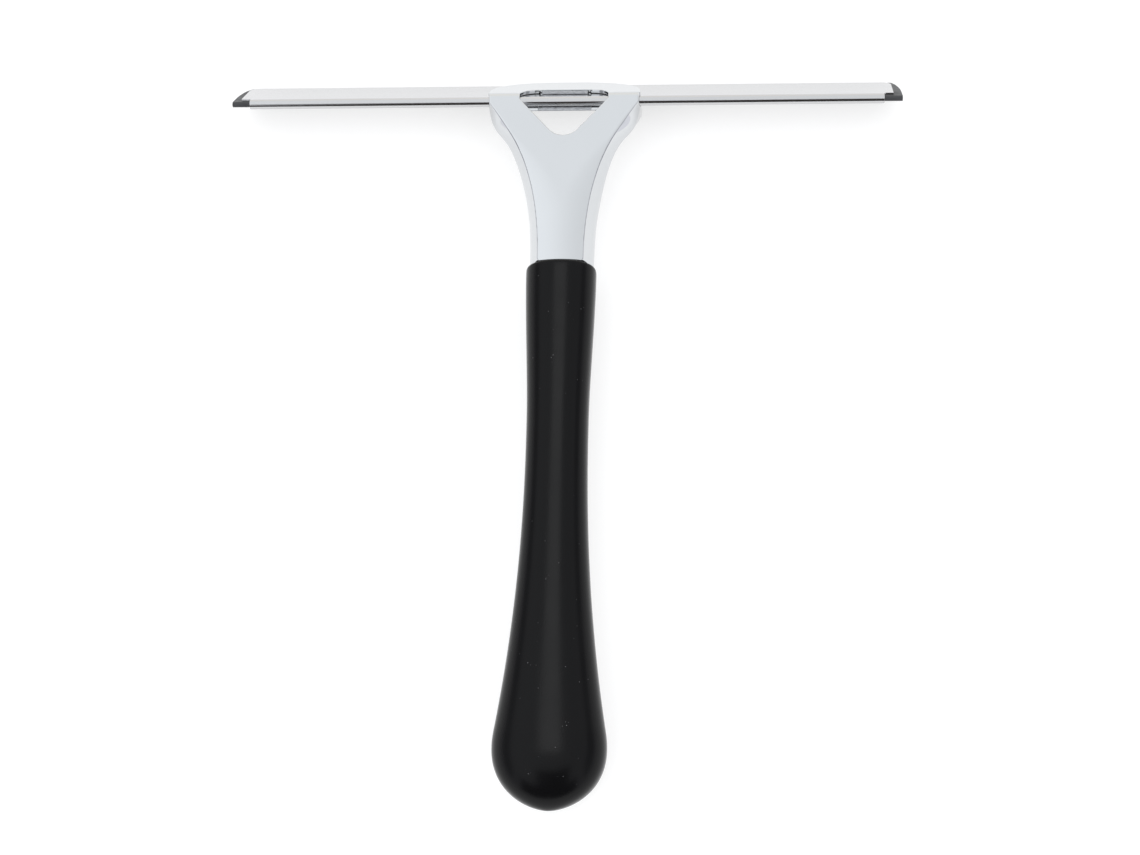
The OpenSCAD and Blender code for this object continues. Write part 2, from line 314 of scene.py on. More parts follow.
def cell_points(value, inside, low, step):
    """A point in each grid cell that the surface crosses, and the number of each cell's point."""
    nx, ny, nz = (n - 1 for n in inside.shape)
    corners = np.array([(i, j, k) for i in (0, 1) for j in (0, 1) for k in (0, 1)])
    count = sum(inside[i:i + nx, j:j + ny, k:k + nz].astype(np.int8) for i, j, k in corners)
    active = np.argwhere((count > 0) & (count < 8))
    values = np.stack([value[tuple((active + c).T)] for c in corners], axis=1)
    total = np.zeros((len(active), 3))
    crossings = np.zeros(len(active))
    for p in range(8):
        for q in range(p + 1, 8):
            if np.abs(corners[p] - corners[q]).sum() != 1:
                continue
            a, b = values[:, p], values[:, q]
            cut = (a < 0) != (b < 0)
            part = a[cut] / (a[cut] - b[cut])
            total[cut] += corners[p] + part[:, None] * (corners[q] - corners[p])
            crossings[cut] += 1
    points = low + step * (active + total / crossings[:, None])
    number = np.full((nx, ny, nz), -1)
    number[tuple(active.T)] = np.arange(len(active))
    return points, number


def cell_quads(inside, number):
    """A quad round each grid edge that the surface crosses."""
    quads = []
    for axis in range(3):
        _, u, v = np.roll(np.eye(3, dtype=int), -axis, axis=0)
        first = [slice(None)] * 3
        second = [slice(None)] * 3
        first[axis] = slice(None, -1)
        second[axis] = slice(1, None)
        g = np.argwhere(inside[tuple(first)] != inside[tuple(second)])
        g = g[((g @ u) > 0) & ((g @ v) > 0) & ((g < number.shape).all(axis=1))]
        ring = np.stack([number[tuple((g - u - v).T)], number[tuple((g - v).T)],
                         number[tuple(g.T)], number[tuple((g - u).T)]], axis=1)
        leaving = inside[tuple(g.T)]
        quads.append(np.where(leaving[:, None], ring, ring[:, ::-1]))
    return np.concatenate(quads)


def field_surface(field, low, high, step):
    """Points and quads where the field is zero, one point to a grid cell."""
    low = np.asarray(low, float)
    axes = [np.arange(a, b + step, step) for a, b in zip(low, high)]
    value = field(*np.meshgrid(*axes, indexing="ij"))
    inside = value < 0
    points, number = cell_points(value, inside, low, step)
    # Newton steps bring the points onto the surface
    for _ in range(4):
        slope = gradient(field, points)
        size = np.maximum((slope ** 2).sum(axis=1), 0.05)
        move = -(field(*points.T) / size)[:, None] * slope
        points += np.clip(move, -step / 2, step / 2)
    return points, cell_quads(inside, number)


def field_object(name, field, low, high, step, materials, slot_of=None):
    """Object on the zero surface of a field, shaded with the field's own slope."""
    points, quads = field_surface(field, low, high, step)
    obj = make_object(name, points, quads, materials)
    normals = gradient(field, points, 0.03)
    normals /= np.maximum(np.linalg.norm(normals, axis=1), 1e-9)[:, None]
    obj.data.normals_split_custom_set_from_vertices(normals.tolist())
    if slot_of is not None:
        centres = points[quads].mean(axis=1)
        obj.data.polygons.foreach_set("material_index", slot_of(centres).astype(np.int32))
    return obj


def skin(rings):
    """Faces between rings of equal length, and a face at each end."""
    n = len(rings[0])
    faces = []
    for i in range(len(rings) - 1):
        for j in range(n):
            k = (j + 1) % n
            faces.append((i * n + j, i * n + k, (i + 1) * n + k, (i + 1) * n + j))
    last = (len(rings) - 1) * n
    faces.append(tuple(range(n - 1, -1, -1)))
    faces.append(tuple(last + j for j in range(n)))
    return faces


# --- Head -------------------------------------------------------------------

def front_half(d):
    return smooth(FRONT_OUTLINE, np.maximum(d, -1) / OUTLINE_STEP + 1)


def full_half(d):
    return smooth(FULL_OUTLINE, np.maximum(d, -1) / OUTLINE_STEP + 1)


def underside(d):
    return EAR_Z + (NECK_Z - EAR_Z) * ease((d - UNDERSIDE_FROM) / UNDERSIDE_SPAN)


def crowned(d):
    """0 where the front face is flat, 1 where it is fully crowned."""
    return ease((d - CROWN_FROM) / CROWN_SPAN)


def crown(x, d):
    """How far the front face falls away towards the sides of the neck."""
    edge = front_half(d)
    flat = edge * (1 - crowned(d))
    rise = np.clip((x - flat) / np.maximum(edge - flat, 0.5), 0, 1.6)
    return CROWN_DROP * crowned(d) * rise ** 2


def side_half(d, z):
    """Half width of the head at a distance and height: flared, then tucked under."""
    top = FRONT_Z - CROWN_DROP * crowned(d)
    v = np.clip((top - z) / (top - underside(d)), 0, 1)
    narrow, wide = np.minimum(front_half(d), JAW_HALF - JAW_STEP), full_half(d)
    half = narrow + (wide - narrow) * np.sin(np.minimum(v / SIDE_WIDEST, 1) * math.pi / 2)
    tuck = np.clip((v - SIDE_WIDEST) / (1 - SIDE_WIDEST), 0, 1) ** 2
    return half - SIDE_TUCK * ease((d - TUCK_FROM) / TUCK_SPAN) * tuck


def side_field(x, d, z):
    """Field of the head's sides, made even by their slope."""
    h = 0.05
    half = side_half(d, z)
    slope_d = (side_half(d + h, z) - half) / h
    slope_z = (side_half(d, z + h) - half) / h
    return (x - half) / np.sqrt(1 + slope_d ** 2 + slope_z ** 2)


def apron_field(x, s):
    """Arch of the wall that covers the flange."""
    a = x / JAW_HALF
    b = np.maximum(s, 0) / APRON_DEPTH
    q = np.maximum(a ** APRON_POWER + b ** APRON_POWER, 1e-6)
    rate = q ** (1 / APRON_POWER - 1)
    slope_x = rate * a ** (APRON_POWER - 1) / JAW_HALF
    slope_s = rate * b ** (APRON_POWER - 1) / APRON_DEPTH
    return (q ** (1 / APRON_POWER) - 1) / np.maximum(np.hypot(slope_x, slope_s), 0.02)


def window_field(x, d, s, t, z):
    """Window: a slot in front of the channel that runs into a V, which goes right through."""
    # V with a round tip
    dd = d - (WINDOW_V_END - WINDOW_V_R)
    nx, nd = math.sin(WINDOW_V_SLOPE), math.cos(WINDOW_V_SLOPE)
    v = np.where(dd * nx > x * nd, np.hypot(x, dd), x * nx + dd * nd) - WINDOW_V_R
    # Slot with a straight front edge and round ends
    width = WINDOW_TIP_HALF - WINDOW_TOP_HALF
    depth = WINDOW_TOP_DEPTH - WINDOW_TOP_FROM
    slot = np.hypot(np.maximum(x - WINDOW_TOP_HALF, 0) / width,
                    np.maximum(s - WINDOW_TOP_FROM, 0) / depth) - 1
    in_front = np.maximum(fillet_and(v, slot * depth, WINDOW_CORNER), -t)
    # The bridge stays behind the channel, with its top below the fold
    bridge_z = FOLD_Z - BRIDGE_DROP
    bridge_side = (BRIDGE_WIDTH - BRIDGE_LEAN * (bridge_z - z) - d) / math.hypot(1, BRIDGE_LEAN)
    walls = x - WINDOW_TIP_HALF + WALL_LEAN * np.maximum(-WALL_LEAN_FROM - d, 0)
    through = np.maximum.reduce([v, walls, np.minimum(bridge_side, bridge_z - z)])
    through = np.maximum(through, s - WINDOW_TOP_DEPTH - np.where(t > 0, 0, FAR))
    return np.minimum(in_front, through)


def land_fields(x, s, t):
    """Pocket behind the window's straight edge, and the rough land in it."""
    pocket = np.maximum.reduce([x - WINDOW_TOP_HALF, s - WINDOW_TOP_DEPTH - POCKET_DEPTH,
                                t - SLOT_HALF - POCKET_TOP, -t, POCKET_FROM - s])
    land = np.maximum.reduce([x - LAND_HALF, WINDOW_TOP_DEPTH - LAND_DEPTH - s,
                              s - WINDOW_TOP_DEPTH - LAND_LAP, t - SLOT_HALF - LAND_TOP,
                              SLOT_HALF - t])
    return pocket, land


def head_field(x, y, z):
    x = np.abs(x)
    d = NEAR_EDGE_Y - y
    s, t = blade_coordinates(y, z)
    # Neck and jaws, with a round corner between them underneath
    neck = fillet_and(underside(d) - z, d - HEAD_LENGTH, NECK_EDGE)
    neck = np.maximum(neck, NECK_FROM - d)
    jaw = fillet_and(-BACK_HALF - t, s - REAR_DEPTH, JAW_EDGE)
    body = fillet_or(neck, jaw, INNER_CORNER)
    body = fillet_and(body, side_field(x, d, z), SIDE_EDGE)
    # Front face: flat over the flange, round over the fold, flat to the grip
    bend = np.where(s > 0, t, np.where(y > FOLD_Y, np.hypot(s, t), z - FOLD_Z)) - HEAD_HALF
    front = bend + crown(x, d)
    body = fillet_and(body, front, FACE_EDGE)
    body = np.maximum(body, np.minimum(s - BODY_LAP, t))
    apron = fillet_and(apron_field(x, s), front, FACE_EDGE)
    apron = np.maximum(apron, np.maximum(-s - APRON_LAP, APRON_FROM - t))
    head = np.minimum(body, apron)
    # Slot for the channel, and the window
    slot = np.where(s > 0, np.abs(t), np.hypot(s, t)) - SLOT_HALF
    head = fillet_and(head, -slot, SLOT_EDGE)
    head = fillet_and(head, -window_field(x, d, s, t, z), WINDOW_EDGE)
    pocket, land = land_fields(x, s, t)
    head = np.minimum(np.maximum(head, -pocket), land)
    for place in SCREW_PLACES.values():
        bore = np.maximum(np.hypot(x - SCREW_OFFSET, s - place) - SCREW_BORE_R, t)
        head = fillet_and(head, -bore, BORE_EDGE)
    # Collar inside the mouth of the grip
    collar = (np.hypot(x / COLLAR_HALF[0], (z - GRIP_AXIS_Z) / COLLAR_HALF[1]) - 1) * COLLAR_MEAN
    past_neck = d - HEAD_LENGTH
    collar = np.maximum(collar, np.maximum(past_neck - COLLAR_LENGTH, -past_neck - COLLAR_LAP))
    return np.minimum(head, collar)


def tang_field(x, y, z):
    """Tang that the grip's core closes round, with the bore for the front core screw."""
    centre = (0, MOUTH_Y - TANG_HALF[1] + TANG_LAP, GRIP_AXIS_Z)
    half = (TANG_HALF[0], TANG_HALF[1] + TANG_LAP, TANG_HALF[2])
    block = rounded_box((x, y, z), centre, half, TANG_ROUND)
    bore = np.hypot(x, y - MOUTH_Y + TANG_BORE_AT) - TANG_BORE_R
    return fillet_and(block, -bore, BORE_EDGE)


def head_finish(centres):
    """1 on the rough cast strips inside the window, 0 on the plated rest."""
    x = np.abs(centres[:, 0])
    d = NEAR_EDGE_Y - centres[:, 1]
    s, t = blade_coordinates(centres[:, 1], centres[:, 2])
    land_top = SLOT_HALF + LAND_TOP
    upper = ((x < LAND_HALF + 0.1) & (s > WINDOW_TOP_DEPTH - 1.5) & (s < WINDOW_TOP_DEPTH + 0.05)
             & (t > SLOT_HALF - 0.1) & (t < land_top + 0.15))
    lower = ((x < ROUGH_BRIDGE_HALF) & (t < 0) & (d < BRIDGE_WIDTH + 0.1) & (d > -0.5)
             & (centres[:, 2] > FOLD_Z - ROUGH_BRIDGE_DEPTH))
    return upper | lower


def build_head(chrome, cast):
    # Each field is sampled in a box a little wider than its solid
    low = (-JAW_HALF - 0.8, NEAR_EDGE_Y - HEAD_LENGTH - 2.2, 0.8)
    high = (JAW_HALF + 0.8, FOLD_Y + 13, FRONT_Z + 0.8)
    step = HEAD_STEP
    head = field_object("head", head_field, low, high, step, [chrome, cast], head_finish)
    low = (-TANG_HALF[0] - 1, MOUTH_Y - 2 * TANG_HALF[1] - 1, GRIP_AXIS_Z - TANG_HALF[2] - 1)
    high = (TANG_HALF[0] + 1, MOUTH_Y + 2, GRIP_AXIS_Z + TANG_HALF[2] + 1)
    tang = field_object("head_tang", tang_field, low, high, 0.5, [chrome])
    for piece in (head, tang):
        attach(piece, "head")
    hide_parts("head_casting")


# --- Blade ------------------------------------------------------------------

def channel_rows():
    """Places in s and t across the sheet's middle surface, with the half length at each."""
    mid = CHANNEL_HALF - SHEET / 2
    fold_half = FLANGE_HALF - FOLD_NOTCH
    # Crimp of the leg: places back from its edge, and how far each is pressed in
    crimp = ((0, CRIMP), (0.3, 0.36), (0.6, 0.2), (0.95, 0))
    rows = [(LEG_DEPTH - back, inset - mid, fold_half) for back, inset in crimp]
    rows += [(s, -mid, fold_half) for s in (LEG_DEPTH * 0.55, 0.6)]
    rows += [(mid * math.cos(a), mid * math.sin(a), fold_half)
             for a in np.radians(np.arange(270, 89, -9))]
    rows += [(0.35 + FOLD_NOTCH_R * math.sin(a), mid, fold_half + FOLD_NOTCH_R * (1 - math.cos(a)))
             for a in np.radians((0, 30, 60, 90))]
    rows += [(s, mid, FLANGE_HALF) for s in (0.9, 1.2, 5, 9, FLANGE_DEPTH - FLANGE_CORNER)]
    rows += [(FLANGE_DEPTH - FLANGE_CORNER * (1 - math.sin(a)), mid,
              FLANGE_HALF - FLANGE_CORNER * (1 - math.cos(a)))
             for a in np.radians(np.arange(10, 91, 10))]
    return rows


def build_channel(material):
    """Folded sheet: its middle surface, thickened, with softened edges."""
    rows = channel_rows()
    columns = np.array([-1, -0.8, -0.6, -0.4, -0.2, 0, 0.2, 0.4, 0.6, 0.8, 1])
    points = np.concatenate([from_blade(columns * half, s, t) for s, t, half in rows])
    n = len(columns)
    faces = [(i * n + j, (i + 1) * n + j, (i + 1) * n + j + 1, i * n + j + 1)
             for i in range(len(rows) - 1) for j in range(n - 1)]
    channel = make_object("channel", points, faces, [material])
    add_modifier(channel, "SOLIDIFY", thickness=SHEET * MM, offset=0, use_even_offset=True)
    add_modifier(channel, "BEVEL", width=0.12 * MM, segments=3, limit_method="ANGLE",
                 angle_limit=math.radians(50))
    add_modifier(channel, "WEIGHTED_NORMAL", keep_sharp=True)
    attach(channel, "channel")
    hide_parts("blade_channel")


def rounded_profile(corners, r, steps=4, longest=2.5):
    """Outline in s and t with each corner rounded to r, and no straight part too long."""
    points = []
    count = len(corners)
    for i in range(count):
        before, here, after = (Vector(corners[(i + k) % count]) for k in (-1, 0, 1))
        start = here + (before - here).normalized() * r
        end = here + (after - here).normalized() * r
        for k in range(steps + 1):
            f = k / steps
            points.append(start.lerp(here, f).lerp(here.lerp(end, f), f))
        run = (after - here).length - 2 * r
        pieces = math.ceil(run / longest)
        for k in range(1, pieces):
            points.append(end.lerp(end + (after - here).normalized() * run, k / pieces))
    return points


def rubber_profile():
    """Rubber's section: a round bead, a web, and a lip with a slanted front."""
    outline = rounded_profile([
        (0, -RUBBER_HALF), (BEAD_DEPTH, -RUBBER_HALF), (BEAD_DEPTH, -WEB_BACK),
        (RUBBER_REACH, -WEB_BACK), (RUBBER_REACH, LIP_FRONT),
        (RUBBER_REACH - LIP_TAPER, RUBBER_HALF), (0, RUBBER_HALF)], 0.18)
    bead = [RUBBER_HALF * Vector((-math.sin(a), math.cos(a)))
            for a in np.radians(np.arange(0, 181, 15))]
    return [p for p in outline if p.x > 0.2] + bead


def toward(value, middle, step):
    """Value moved a step towards the middle, but not past it."""
    return value - math.copysign(min(step, abs(value - middle)), value - middle)


def build_rubber(material):
    """Rubber strip, with ends drawn in towards the edge that wipes."""
    profile = rubber_profile()
    middle_s, middle_t = RUBBER_MIDDLE
    # Each cut is a share of the way to the end, and how far its outline is drawn in
    ends = [(1, 0.12), (0.9996, 0.05), (0.9988, 0)]
    middle = [(x, 0) for x in np.linspace(0.98, -0.98, 41)]
    cuts = ends + middle + [(-share, inset) for share, inset in ends[::-1]]
    rings = []
    for share, inset in cuts:
        ring = []
        for p in profile:
            along = max(p.x - END_STRAIGHT, 0) / (RUBBER_REACH - END_STRAIGHT)
            x = share * (RUBBER_LENGTH_HALF - END_DRAW * along ** 2)
            ring.append(from_blade(x, toward(p.x, middle_s, inset), toward(p.y, middle_t, inset)))
        rings.append(ring)
    rubber = make_object("rubber_strip", np.concatenate(rings), skin(rings), [material])
    add_modifier(rubber, "WEIGHTED_NORMAL", keep_sharp=False, weight=80)
    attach(rubber, "rubber")
    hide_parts("rubber_blade")


# --- Set screws -------------------------------------------------------------

def thread_radius(turns):
    """Radius of a 60 degree thread, with flat crests and roots."""
    depth = 0.6 * SCREW_PITCH
    f = np.abs((turns % 1) * 2 - 1)
    return SCREW_R - depth * np.clip((0.88 - f) / 0.76, 0, 1)


def build_set_screw(name, node, body, side, place, material):
    """Threaded screw with a hexagon socket and a cup point."""
    around, rows = 48, 120
    angles = np.arange(around) / around * 2 * math.pi
    rings = []

    def ring(radius, height):
        local = np.stack([radius * np.cos(angles), radius * np.sin(angles)], axis=1)
        t = SCREW_TIP_T - SCREW_LENGTH + height
        rings.append(from_blade(side * SCREW_OFFSET + local[:, 0], place + local[:, 1], t))

    def round_ring(radius, height):
        ring(np.full(around, radius), height)

    # Socket from its drilled bottom to its mouth, then the end face
    flats = SOCKET_HALF / np.cos((angles + math.pi / 6) % (math.pi / 3) - math.pi / 6)
    for share, height in ((0.05, SOCKET_DEPTH + 0.45), (0.5, SOCKET_DEPTH + 0.3),
                          (1, SOCKET_DEPTH), (1, SOCKET_DEPTH - 0.1), (1, 0.35), (1, 0.22)):
        ring(share * flats, height)
    end_r = SCREW_R - SCREW_CHAMFER
    for radius, height in ((1.28, 0.04), (1.36, 0), (end_r, 0)):
        round_ring(radius, height)
    # Thread, cut off by the chamfers at both ends
    for k in range(rows + 1):
        height = 0.04 + (SCREW_LENGTH - 0.08) * k / rows
        limit = end_r + np.minimum(height, SCREW_LENGTH - height) * 1.1
        turns = height / SCREW_PITCH - angles / (2 * math.pi)
        ring(np.minimum(thread_radius(turns), limit), height)
    # Cup point
    for radius, below in ((end_r, 0), (1.15, 0), (1.0, 0.08), (0.1, 0.5)):
        round_ring(radius, SCREW_LENGTH - below)
    screw = make_object(name, np.concatenate(rings), skin(rings), [material])
    add_modifier(screw, "EDGE_SPLIT", split_angle=math.radians(55), use_edge_sharp=False)
    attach(screw, body)
    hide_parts(node)


# --- Grip -------------------------------------------------------------------

def grip_halves(t, end):
    """Half width and half thickness of the grip at t, and how much of them its tip leaves."""
    to_mouth = 1 - ease(t / MOUTH_SPAN)
    swell = (np.maximum(t - WAIST_AT, 0) / BULB_SPAN) ** BULB_POWER
    u = np.clip((t - TIP_FROM) / (end - TIP_FROM), 0, 1)
    cap = (1 - u ** TIP_POWER) ** TIP_ROUND
    wide, deep = (waist + mouth * to_mouth + bulb * swell
                  for waist, mouth, bulb in zip(WAIST_HALF, MOUTH_GROWTH, BULB_GROWTH))
    return wide, deep, cap


def superellipse(angles):
    """Across and up on a rounded square section, at each angle."""
    return tuple(np.sign(a) * np.abs(a) ** (2 / SECTION_POWER)
                 for a in (np.cos(angles), np.sin(angles)))


def build_sleeve(material):
    """Soft sleeve, inside and out, with a round lip at its mouth."""
    around = 128
    across, up = superellipse((np.arange(around) + 0.5) / around * 2 * math.pi)
    rings = []

    def ring(t, end, inset):
        wide, deep, cap = grip_halves(t, end)
        rings.append(np.stack([(wide - inset) * cap * across,
                               np.full(around, MOUTH_Y - t),
                               GRIP_AXIS_Z + (deep - inset) * cap * up], axis=1))

    inner_end = GRIP_LENGTH - SLEEVE_WALL
    outer_end = GRIP_LENGTH - SKIN_INSET
    round_tip = np.sin(np.radians(np.linspace(0, 89.2, 34)))
    # Inside, from the tip to the mouth
    for u in round_tip[::-1][::2]:
        ring(TIP_FROM + (inner_end - TIP_FROM) * u, inner_end, SLEEVE_WALL)
    for t in np.linspace(TIP_FROM - 4, LIP_R + 0.5, 50):
        ring(t, inner_end, SLEEVE_WALL)
    # Round the lip, then outside to the tip
    half_wall = SLEEVE_WALL / 2
    for a in np.radians(np.linspace(0, 180, 15)):
        inset = half_wall + (half_wall - SKIN_INSET) * math.cos(a) + SKIN_INSET
        ring(LIP_R * (1 - math.sin(a)), outer_end, inset)
    for t in np.linspace(LIP_R + 0.6, TIP_FROM - 1, 150):
        ring(t, outer_end, SKIN_INSET)
    for u in round_tip:
        ring(TIP_FROM + (outer_end - TIP_FROM) * u, outer_end, SKIN_INSET)
    sleeve = make_object("sleeve", np.concatenate(rings), skin(rings), [material])
    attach(sleeve, "head")
    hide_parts("grip_sleeve")
    return sleeve


# --- Materials --------------------------------------------------------------

class Shader:
    """A material's nodes, with short calls for the ones used here."""

    def __init__(self, name, **values):
        self.material = bpy.data.materials.new(name)
        self.material.use_nodes = True
        self.tree = self.material.node_tree
        self.tree.nodes.clear()
        output = self.add("ShaderNodeOutputMaterial")
        self.surface = self.add("ShaderNodeBsdfPrincipled", **values)
        self.link(self.surface.outputs[0], output.inputs["Surface"])
        self.place = self.add("ShaderNodeTexCoord").outputs["Object"]

    def add(self, kind, **values):
        node = self.tree.nodes.new(kind)
        for name, value in values.items():
            node.inputs[name.replace("_", " ")].default_value = value
        return node

    def link(self, source, target):
        self.tree.links.new(source, target)

    def scaled(self, scale):
        """Object position stretched by a scale along each axis, in counts per metre."""
        node = self.add("ShaderNodeMapping", Scale=scale)
        self.link(self.place, node.inputs["Vector"])
        return node.outputs["Vector"]

    def noise(self, scale, detail=3.0, vector=None):
        node = self.add("ShaderNodeTexNoise", Scale=scale, Detail=detail, Roughness=0.55)
        self.link(vector or self.place, node.inputs["Vector"])
        return node.outputs["Fac"]

    def specks(self, scale, size):
        """1 in small round specks scattered at random, 0 between them."""
        node = self.add("ShaderNodeTexVoronoi", Scale=scale)
        self.link(self.place, node.inputs["Vector"])
        return self.remap(node.outputs["Distance"], size, size * 0.5, 0, 1)

    def remap(self, value, low, high, to_low, to_high):
        """Value carried from one range to another, and held at its ends."""
        node = self.tree.nodes.new("ShaderNodeMapRange")
        node.clamp = True
        self.link(value, node.inputs["Value"])
        for name, number in zip(("From Min", "From Max", "To Min", "To Max"),
                                (low, high, to_low, to_high)):
            node.inputs[name].default_value = number
        return node.outputs["Result"]

    def blend(self, factor, first, second):
        """Colour between two, by a factor."""
        node = self.tree.nodes.new("ShaderNodeMix")
        node.data_type = "RGBA"
        node.inputs["A"].default_value = (*first, 1)
        node.inputs["B"].default_value = (*second, 1)
        self.link(factor, node.inputs["Factor"])
        return node.outputs["Result"]

    def times(self, first, second):
        node = self.tree.nodes.new("ShaderNodeMath")
        node.operation = "MULTIPLY"
        self.link(first, node.inputs[0])
        self.link(second, node.inputs[1])
        return node.outputs[0]

    def colour(self, source):
        self.link(source, self.surface.inputs["Base Color"])

    def roughness(self, source):
        self.link(source, self.surface.inputs["Roughness"])

    def bump(self, height, distance):
        node = self.add("ShaderNodeBump", Strength=1.0, Distance=distance)
        self.link(height, node.inputs["Height"])
        self.link(node.outputs["Normal"], self.surface.inputs["Normal"])


def chrome_material():
    """Bright plate with a faint unevenness."""
    m = Shader("chrome_plate", Metallic=1.0, Roughness=0.05)
    m.colour(m.blend(m.noise(60), (0.625, 0.64, 0.655), (0.65, 0.665, 0.68)))
    m.roughness(m.remap(m.noise(240, 4), 0.35, 0.75, 0.03, 0.09))
    m.bump(m.noise(330, 2), 0.000012)
    return m.material


def cast_material():
    """Coarse, pitted casting left by the mould."""
    m = Shader("rough_casting", Metallic=1.0, Roughness=0.5)
    m.colour(m.blend(m.noise(1800, 4), (0.35, 0.36, 0.38), (0.80, 0.82, 0.85)))
    m.roughness(m.remap(m.noise(900), 0.3, 0.7, 0.35, 0.7))
    m.bump(m.noise(1500, 4), 0.0003)
    return m.material


def steel_material():
    """Rolled sheet, with fine streaks along the blade."""
    m = Shader("rolled_steel", Metallic=1.0, Roughness=0.15)
    streaks = m.noise(1.0, 3, vector=m.scaled((30, 2600, 2600)))
    m.colour(m.blend(streaks, (0.56, 0.56, 0.57), (0.60, 0.60, 0.605)))
    m.roughness(m.remap(streaks, 0.3, 0.7, 0.10, 0.20))
    m.bump(streaks, 0.000004)
    return m.material


def rubber_material():
    """Dark rubber, slightly chalky."""
    m = Shader("blade_rubber", Roughness=0.5)
    m.colour(m.blend(m.noise(500, 4), (0.020, 0.021, 0.024), (0.045, 0.046, 0.050)))
    m.roughness(m.remap(m.noise(300), 0.3, 0.7, 0.42, 0.58))
    m.bump(m.noise(2500, 3), 0.00003)
    return m.material


def silicone_material():
    """Deep black, soft to the touch, with a few specks of dust."""
    m = Shader("grip_silicone", Roughness=0.2)
    m.surface.inputs["Specular IOR Level"].default_value = 0.13
    dust = m.times(m.specks(700, 0.11), m.remap(m.noise(260, 2), 0.56, 0.66, 0, 1))
    m.colour(m.blend(dust, (0.003, 0.003, 0.0034), (0.12, 0.12, 0.125)))
    m.roughness(m.remap(m.noise(90, 3), 0.3, 0.7, 0.18, 0.25))
    m.bump(m.noise(2600, 2), 0.000018)
    return m.material


def screw_material():
    """Plain steel, a little stained."""
    m = Shader("screw_steel", Metallic=1.0, Roughness=0.25)
    m.colour(m.blend(m.noise(700, 3), (0.52, 0.51, 0.49), (0.72, 0.71, 0.69)))
    m.roughness(m.remap(m.noise(900), 0.3, 0.7, 0.18, 0.38))
    m.bump(m.noise(2500, 3), 0.00001)
    return m.material


def core_material():
    """Hard grey plastic with a moulded grain."""
    m = Shader("core_plastic", Roughness=0.55)
    m.colour(m.blend(m.noise(250, 4), (0.10, 0.10, 0.11), (0.15, 0.15, 0.16)))
    m.roughness(m.remap(m.noise(400), 0.3, 0.7, 0.45, 0.65))
    m.bump(m.noise(1800, 3), 0.00004)
    return m.material


def zinc_material():
    """Bright zinc plate."""
    m = Shader("zinc_plate", Metallic=1.0, Roughness=0.3)
    m.colour(m.blend(m.noise(500, 3), (0.58, 0.60, 0.64), (0.74, 0.75, 0.78)))
    m.roughness(m.remap(m.noise(700), 0.3, 0.7, 0.22, 0.4))
    m.bump(m.noise(2200, 2), 0.00001)
    return m.material


def repaint(node, material):
    """Gives a finished material to a CAD node that stays as it is."""
    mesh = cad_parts[node].data
    mesh.materials.clear()
    mesh.materials.append(material)


# --- Studio -----------------------------------------------------------------

def build_floor():
    """White table, lit from inside so that it has nearly no shadow."""
    mesh = bpy.data.meshes.new("floor")
    corners = [(x * FLOOR_HALF, y * FLOOR_HALF, 0)
               for x, y in ((-1, -1), (1, -1), (1, 1), (-1, 1))]
    mesh.from_pydata(corners, [], [(0, 1, 2, 3)])
    floor = bpy.data.objects.new("floor", mesh)
    bpy.context.scene.collection.objects.link(floor)
    m = Shader("white_table", Roughness=0.9)
    m.surface.inputs["Specular IOR Level"].default_value = 0.0
    m.surface.inputs["Emission Color"].default_value = (1, 1, 1, 1)
    m.surface.inputs["Emission Strength"].default_value = FLOOR_GLOW
    m.colour(m.blend(m.noise(8, 2), (0.40, 0.40, 0.40), (0.42, 0.42, 0.42)))
    mesh.materials.append(m.material)


